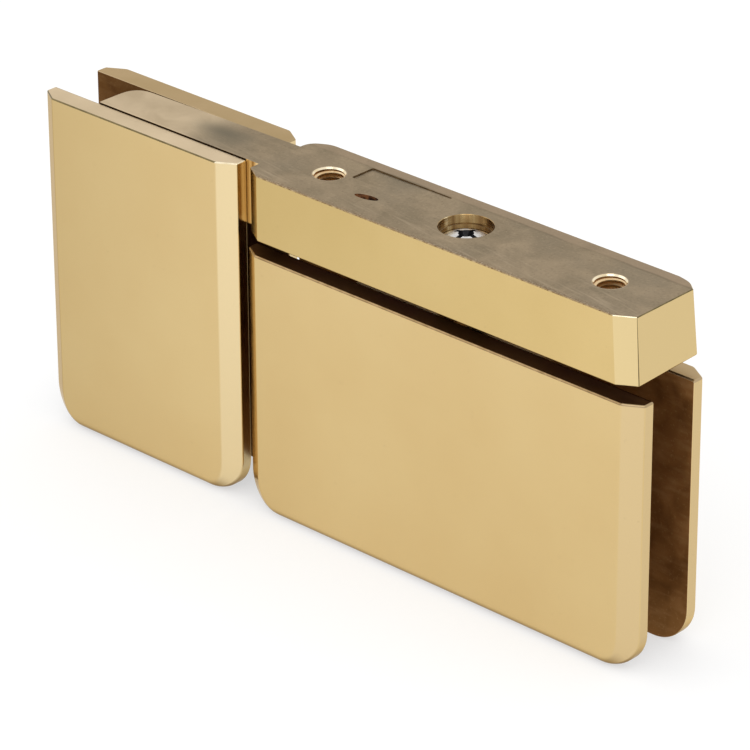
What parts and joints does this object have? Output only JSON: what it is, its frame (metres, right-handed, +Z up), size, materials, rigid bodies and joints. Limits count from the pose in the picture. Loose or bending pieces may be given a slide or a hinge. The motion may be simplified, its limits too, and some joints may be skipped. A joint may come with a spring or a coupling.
{
  "type": "pivot hinge",
  "caption": "Brass pivot hinge for a frameless glass door: ceiling block with a tongue, a fixed-panel glass clamp and a swinging door clamp below.",
  "frame": {"origin": "on the pivot axis, at the mounting face of the block, midway between the tapped holes", "axes": "+X along the door from the fixed-panel clamp to the free end, +Y to the back where the clamp screws are, +Z up to the ceiling"},
  "size_m": [0.2114, 0.028, 0.0985],
  "materials": {
    "cast_brass": "polished sides, unpolished cast top",
    "clamp_brass": "polished outside, brown unpolished inside",
    "raw_brass": "unpolished brown",
    "pin_steel": "ground",
    "bright_steel": "bright plated",
    "black_steel": "black oxide",
    "bearing_bronze": "sintered",
    "black_acetal": "matt",
    "clear_nylon": "satin natural"
  },
  "bodies": {
    "fixed_side": {"mount_block": "cast_brass", "pivot_pin": "pin_steel", "pivot_screw": "bright_steel", "thrust_washer": "black_acetal", "retaining_ring": "pin_steel", "fixed_plate_front": "clamp_brass", "fixed_plate_back": "clamp_brass", "tongue_screw_outer": "bright_steel", "tongue_screw_inner": "bright_steel", "panel_screw": "bright_steel", "panel_sleeve": "clear_nylon"},
    "door_clamp": {"pivot_body": "raw_brass", "upper_bushing": "bearing_bronze", "lower_bushing": "bearing_bronze", "door_plate_front": "clamp_brass", "door_plate_back": "clamp_brass", "door_screw_top_left": "bright_steel", "door_screw_top_right": "bright_steel", "door_screw_bottom_left": "bright_steel", "door_screw_bottom_right": "bright_steel", "detent_plug_left": "black_steel", "detent_plug_right": "black_steel", "detent_spring_left": "pin_steel", "detent_spring_right": "pin_steel"},
    "detent_left": {"detent_ball_left": "bright_steel"},
    "detent_right": {"detent_ball_right": "bright_steel"}
  },
  "joints": [
    {"name": "door_swing", "type": "hinge", "parent": "fixed_side", "child": "door_clamp", "pos_m": [0, 0, 0], "axis": [0, 0, 1], "range_deg": [-90, 90]},
    {"name": "detent_left_slide", "type": "slide", "parent": "door_clamp", "child": "detent_left", "axis": [-1, 0, 0], "range_m": [-0.0007, 0], "stiffness_N_per_m": 6000, "springref_m": -0.004, "deforming": ["detent_spring_left"]},
    {"name": "detent_right_slide", "type": "slide", "parent": "door_clamp", "child": "detent_right", "axis": [1, 0, 0], "range_m": [-0.0007, 0], "stiffness_N_per_m": 6000, "springref_m": -0.004, "deforming": ["detent_spring_right"]}
  ]
}
